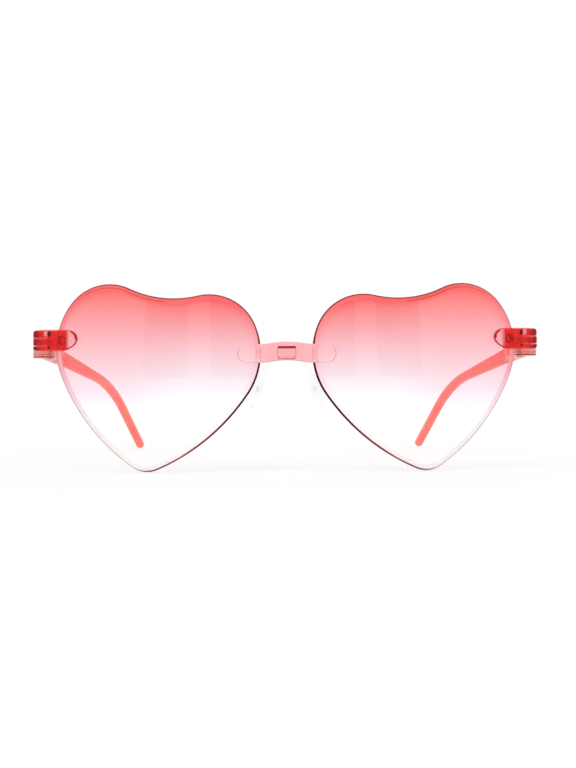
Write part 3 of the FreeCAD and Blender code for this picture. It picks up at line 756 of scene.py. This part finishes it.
def lensTree(s):
    # the section carried round the outline and pressed onto the round front, then bitten for the pin
    tree, given = newTree("heart lens", [
        ("Outline", "NodeSocketObject"), ("Section", "NodeSocketObject"), ("Around", "NodeSocketInt"),
        ("Rows", "NodeSocketInt"), ("Front Radius", "NodeSocketFloat"), ("Pole", "NodeSocketVector"),
        ("Middle", "NodeSocketVector"), ("Pin", "NodeSocketVector"), ("Bite", "NodeSocketFloat"),
        ("Finish", "NodeSocketMaterial")])
    w = given["Around"]
    outline, section = (w.node("GeometryNodeObjectInfo", None, {"Object": given[label]}, "Geometry")
                        for label in ("Outline", "Section"))
    sheet = w.node("GeometryNodeMeshGrid", None, {
        "Vertices X": given["Around"] + 1.0, "Vertices Y": given["Rows"]}, "Mesh")
    index = w.node("GeometryNodeInputIndex")
    column = w.calc("FLOOR", (index + 0.5) / given["Rows"])
    row = index - column * given["Rows"]
    along = w.node("GeometryNodeSampleCurve", {"mode": "FACTOR", "use_all_curves": True}, {
        "Curves": outline, "Factor": column / given["Around"]}, "Position")
    tx, _, tz = along.other("Tangent").parts()
    rowPoint = w.node("GeometryNodeSampleIndex", {"data_type": "FLOAT_VECTOR", "domain": "POINT"}, {
        "Geometry": section, "Value": w.node("GeometryNodeInputPosition"), "Index": row})
    inset, share, drop = rowPoint.parts()
    ox, _, oz = along.parts()
    mx, _, mz = given["Middle"].parts()
    px, py, pz = given["Pole"].parts()
    x0, z0 = ox - tz * inset, oz + tx * inset
    x, z = x0 + (mx - x0) * share, z0 + (mz - z0) * share
    radius = given["Front Radius"] - drop
    height = (radius * radius - (x - px) * (x - px) - (z - pz) * (z - pz)) ** 0.5
    y = py + given["Front Radius"] - height
    lens = w.node("GeometryNodeSetPosition", None, {"Geometry": sheet, "Position": vector(w, x, y, z)})
    for name, value in (("inset", inset / mm + share * s["middleInset"]), ("drop", drop / mm)):
        value = w.node("GeometryNodeFieldOnDomain", {"data_type": "FLOAT", "domain": "POINT"}, {"Value": value})
        lens = w.node("GeometryNodeStoreNamedAttribute", {"data_type": "FLOAT", "domain": "CORNER"}, {
            "Geometry": lens, "Name": name, "Value": value})
    lens = w.node("GeometryNodeMergeByDistance", None, {"Geometry": lens, "Distance": s["seam"] * mm})
    for tool in biteTools(w, s, given["Pin"], given["Bite"]):
        lens = w.node("GeometryNodeMeshBoolean", {"operation": "DIFFERENCE", "solver": "EXACT"}, {
            "Mesh 1": lens, "Mesh 2": tool}, "Mesh")
    endTree(w, lens, given["Finish"])
    return tree


def makeLenses():
    s = lensSet
    outline, section = heartCurve(s), lensSection(s)
    pinLow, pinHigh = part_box("left_lens_pin")
    poleX, poleZ = s["pole"]
    middleX, middleZ = s["middle"]
    left = grown("left_heart", lensTree(s), {
        "Outline": outline, "Section": section, "Around": s["around"], "Rows": len(section.data.vertices),
        "Front Radius": s["frontR"] * mm, "Pole": (poleX * mm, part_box("left_lens")[0][1], poleZ * mm),
        "Middle": (middleX * mm, 0.0, middleZ * mm), "Pin": middle(pinLow, pinHigh),
        "Bite": (pinHigh[0] - pinLow[0]) / 2 + s["biteGap"] * mm, "Finish": finishes["lens_tint"]})
    for ob in (outline, section):
        bpy.data.objects.remove(ob)
    outward(left.data)
    for piece, node in ((left, "left_lens"), (flipped(left, "right_heart"), "right_lens")):
        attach(piece, "front")
        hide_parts(node)
    return left


print("lenses made:", len(makeLenses().data.polygons), "faces each")

# Nose pads: soft oval cushions with full round rims
padSet = {"size": (2.4, 6.6, 13.0), "flare": -22.0, "splay": -20.0, "fullness": 3.6,
          "segments": 96, "rings": 64}


def padTree():
    # a ball squared off into a cushion: flat faces, oval outline
    tree, given = newTree("nose pad", [
        ("Size", "NodeSocketVector"), ("Fullness", "NodeSocketFloat"), ("Turn", "NodeSocketVector"),
        ("Place", "NodeSocketVector"), ("Segments", "NodeSocketInt"), ("Rings", "NodeSocketInt"),
        ("Finish", "NodeSocketMaterial")])
    w = full = given["Fullness"]
    ball = w.node("GeometryNodeMeshUVSphere", None, {
        "Segments": given["Segments"], "Rings": given["Rings"], "Radius": 1.0}, "Mesh")
    x, y, z = w.node("GeometryNodeInputPosition").parts()
    swell = ((squares(y, z) ** 0.5) ** full + x.size() ** full) ** (-1.0 / full)
    place = vector(w, *(v * swell * size * 0.5 for v, size in zip((x, y, z), given["Size"].parts())))
    pad = w.node("GeometryNodeSetPosition", None, {"Geometry": ball, "Position": place})
    pad = w.node("GeometryNodeTransform", None, {
        "Geometry": pad, "Translation": given["Place"], "Rotation": given["Turn"]})
    endTree(w, pad, given["Finish"])
    return tree


def makePads():
    s = padSet
    left = grown("left_cushion", padTree(), {
        "Size": tuple(v * mm for v in s["size"]), "Fullness": s["fullness"],
        "Turn": (0.0, math.radians(s["flare"]), math.radians(s["splay"])),
        "Place": middle(*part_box("left_nose_pad")), "Segments": s["segments"], "Rings": s["rings"],
        "Finish": finishes["clear_silicone"]})
    outward(left.data)
    for piece, node in ((left, "left_nose_pad"), (flipped(left, "right_cushion"), "right_nose_pad")):
        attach(piece, "front")
        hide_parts(node)
    return left


print("nose pads made:", len(makePads().data.polygons), "faces each")
